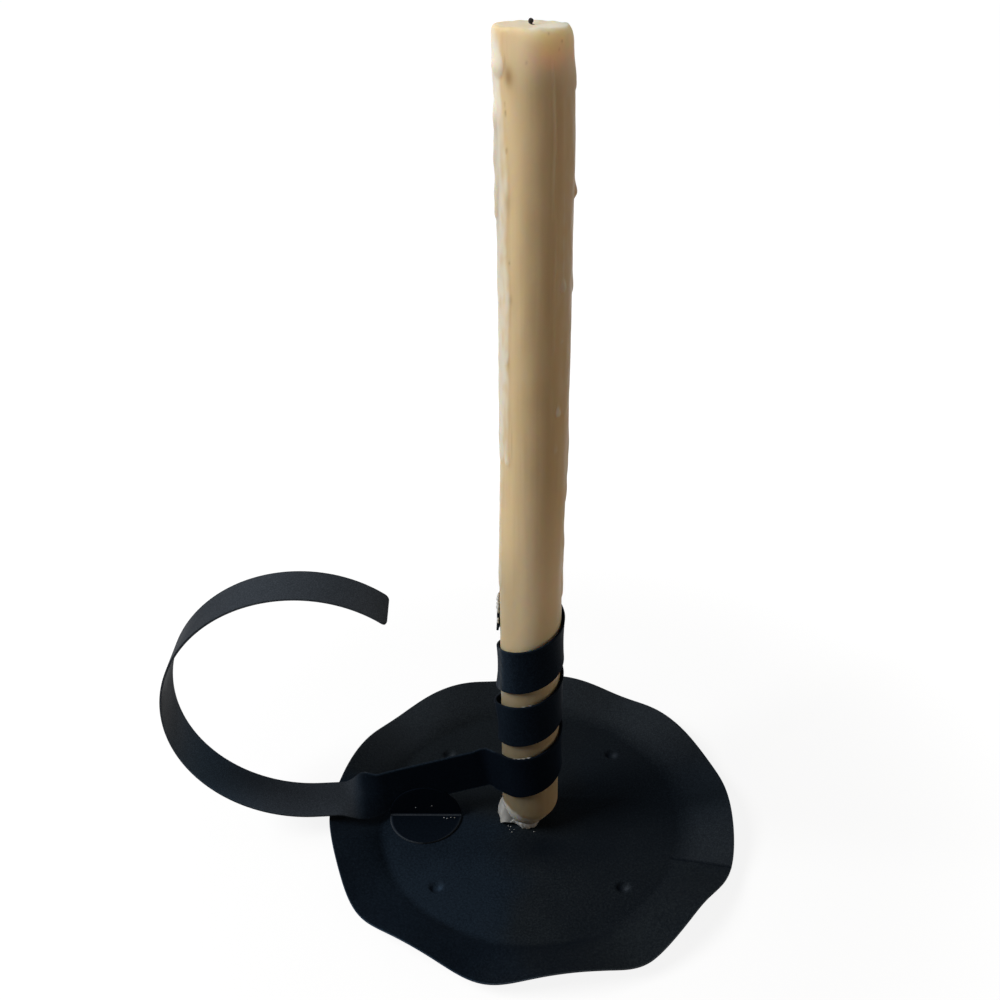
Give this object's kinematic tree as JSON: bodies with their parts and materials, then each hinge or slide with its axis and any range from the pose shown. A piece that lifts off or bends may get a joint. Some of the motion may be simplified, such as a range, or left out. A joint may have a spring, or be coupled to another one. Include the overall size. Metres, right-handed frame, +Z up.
{
  "type": "chamberstick",
  "caption": "Black sheet-steel chamberstick: wavy drip pan, one bent strip that makes the finger ring, arm and spiral candle grip, and a tall candle that lifts out.",
  "frame": {"origin": "middle of the pan floor's underside, on the candle's axis", "axes": "+Z up along the candle, the handle points along -X, and -Y is the front seen in the picture"},
  "size_m": [0.2143, 0.1587, 0.2965],
  "materials": {
    "black_steel": "satin powder coat with a fine grain",
    "ivory_wax": "smooth wax, slightly translucent",
    "white_wax": "set wax, translucent at its edges",
    "charred_cotton": "charred cotton cord"
  },
  "bodies": {
    "holder": {"drip_pan": "black_steel", "spiral_strip": "black_steel", "strip_bracket": "black_steel", "wax_crust": "white_wax"},
    "taper": {"candle": "ivory_wax", "wick": "charred_cotton"}
  },
  "joints": [
    {"name": "candle_lift", "type": "slide", "parent": "holder", "child": "taper", "axis": [0, 0, 1], "range_m": [0, 0.112]}
  ]
}
